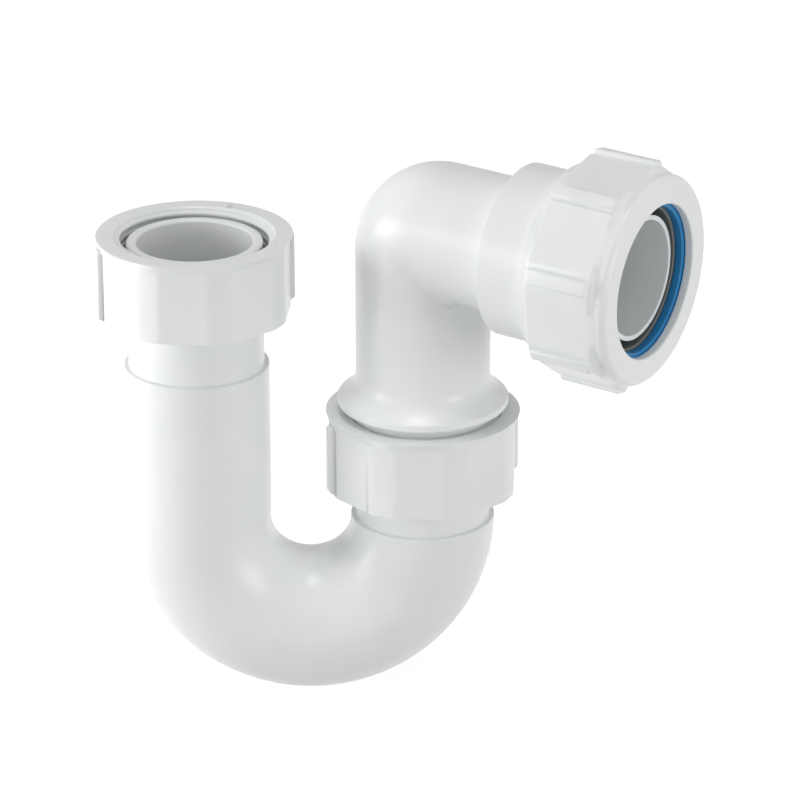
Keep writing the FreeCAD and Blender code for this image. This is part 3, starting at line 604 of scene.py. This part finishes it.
# Moulded polyethylene, dyed blue in the melt: waxy and a little uneven in tone.
moulded_pe, pe_shader = new_material("moulded_blue_polyethylene", {"Roughness": 0.4, "IOR": 1.51})
pe_place = node(moulded_pe, "ShaderNodeTexCoord")
streaks = node(moulded_pe, "ShaderNodeTexNoise", {"Scale": 1 / (2.5 * mm), "Detail": 2.0},
               [(pe_place, "Object", "Vector")])
pe_tone = node(moulded_pe, "ShaderNodeValToRGB", {}, [(streaks, "Fac", "Fac")])
pe_tone.color_ramp.elements[0].color = linear("1878B4")
pe_tone.color_ramp.elements[1].color = linear("268AC6")
pe_wax = node(moulded_pe, "ShaderNodeBump", {"Strength": 0.15, "Distance": 0.03 * mm},
              [(streaks, "Fac", "Height")])
moulded_pe.node_tree.links.new(pe_tone.outputs["Color"], pe_shader.inputs["Base Color"])
moulded_pe.node_tree.links.new(pe_wax.outputs["Normal"], pe_shader.inputs["Normal"])


def ring_piece(name, section, edge):
    """A ring about Z from the corners of its cross-section, each a height and a radius."""
    height, radius = section[0]
    wall = start_ring(name, (0, 0, height), (0, 0, 1), radius, tube_sides, height)
    grow(wall, [*section[1:], section[0]])
    ring = close_up(wall["piece"])
    round_edges(ring, edge)
    return ring


nut_inside = -nut_height + floor_thickness
slip_ring_section = [
    (nut_inside + 0.1 * mm, 20.95 * mm),
    (nut_inside + 0.1 * mm, 23.6 * mm),
    (nut_inside + 2.2 * mm, 23.6 * mm),
    (nut_inside + 2.2 * mm, 20.95 * mm),
]
cone_seal_section = [
    (nut_inside + 2.3 * mm, 20.8 * mm),
    (nut_inside + 2.3 * mm, 22.4 * mm),
    (nut_inside + 5.5 * mm, 22.4 * mm),
    (-8.8 * mm, 21.5 * mm),
    (-8.8 * mm, 20.8 * mm),
]
for side, nut_node, ring_body, seal_body in (
    ("inlet", "inlet_nut", "inlet_ring_and_seal", "inlet_ring_and_seal"),
    ("swivel", "swivel_nut", "swivel_slip_ring", "swivel_seal"),
):
    nut_low, nut_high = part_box(nut_node)
    mouth = Matrix.Translation(((nut_low.x + nut_high.x) / 2, (nut_low.y + nut_high.y) / 2, nut_high.z))
    slip_ring = ring_piece(side + "_hard_ring", slip_ring_section, 0.3 * mm)
    settle(slip_ring, mouth)
    dress(slip_ring, moulded_pp, ring_body, side + "_slip_ring")
    cone_seal = ring_piece(side + "_rubber_cone", cone_seal_section, 0.15 * mm)
    settle(cone_seal, mouth)
    dress(cone_seal, moulded_rubber, seal_body, side + "_seal")

ring_face = outlet_front - lip_thickness - 0.1 * mm
blue_ring = ring_piece("blue_hard_ring", [
    (ring_face - 2.4 * mm, 22.1 * mm),
    (ring_face - 2.4 * mm, 26.8 * mm),
    (ring_face, 26.8 * mm),
    (ring_face, 22.1 * mm),
], 0.3 * mm)
settle(blue_ring, face_outlet @ lie_on_arm)
dress(blue_ring, moulded_pe, "outlet_ring_and_seal", "outlet_slip_ring")
outlet_seal = ring_piece("outlet_rubber_seal", [
    (sleeve_end + 0.1 * mm, 21.3 * mm),
    (sleeve_end + 0.1 * mm, 25.0 * mm),
    (sleeve_end + 3.2 * mm, 26.7 * mm),
    (ring_face - 2.5 * mm, 26.7 * mm),
    (ring_face - 2.5 * mm, 21.3 * mm),
], 0.4 * mm)
settle(outlet_seal, face_outlet @ lie_on_arm)
dress(outlet_seal, moulded_rubber, "outlet_ring_and_seal", "outlet_seal")

# ---------------------------------------------------------------------------------------------
# The camera looks down at the trap through a long lens. The floor is a pale matt sheet under
# soft boxes: the largest and strongest stands on the right.
# ---------------------------------------------------------------------------------------------
bpy.ops.object.select_all(action="DESELECT")
bpy.ops.object.camera_add(location=(0.0256, -1.1885, 0.4381), rotation=(radians(67.48), 0, radians(-1.753)))
camera = bpy.context.object
camera.data.lens = 189
camera.data.sensor_width = 36
camera.data.clip_end = 20
bpy.context.scene.camera = camera

floor_level = u_low.z
bpy.ops.mesh.primitive_plane_add(size=8, location=(0, 0, floor_level))
floor = bpy.context.object
floor.name = "floor"
paper, paper_shader = new_material("matt_paper", {"Base Color": linear("FAFAFA"), "Roughness": 0.9})
paper_shader.inputs["Emission Color"].default_value = (1, 1, 1, 1)
paper_shader.inputs["Emission Strength"].default_value = 0.5
floor.data.materials.append(paper)
floor.visible_diffuse = False


def soft_box(name, place_at, aim, width, height, power):
    """A rectangular lamp that faces a point."""
    bpy.ops.object.light_add(type="AREA", location=place_at)
    lamp = bpy.context.object
    lamp.name = name
    lamp.data.shape = "RECTANGLE"
    lamp.data.size = width
    lamp.data.size_y = height
    lamp.data.energy = power
    lamp.rotation_euler = (Vector(aim) - Vector(place_at)).to_track_quat("-Z", "Y").to_euler()


trap_middle = Vector(((inlet_x + swivel_x) / 2, 0, arc_centre.z / 2))
soft_box("left_box", (-0.5, -0.04, 0.0), (inlet_x, 0, -0.06), 0.3, 0.3, 1.8)
soft_box("top_box", (0.02, -0.14, 1.0), trap_middle, 0.28, 0.28, 2.2)
soft_box("right_box", (1.0, -0.75, 0.0), trap_middle, 0.6, 0.6, 5.0)
soft_box("side_box", (-0.9, -0.55, 0.2), trap_middle, 0.4, 0.4, 1.3)

bpy.context.scene.view_settings.view_transform = "Standard"
room = bpy.data.worlds.new("pale_room")
room.use_nodes = True
room.node_tree.nodes["Background"].inputs["Color"].default_value = (1, 1, 1, 1)
room.node_tree.nodes["Background"].inputs["Strength"].default_value = 0.47
bpy.context.scene.world = room
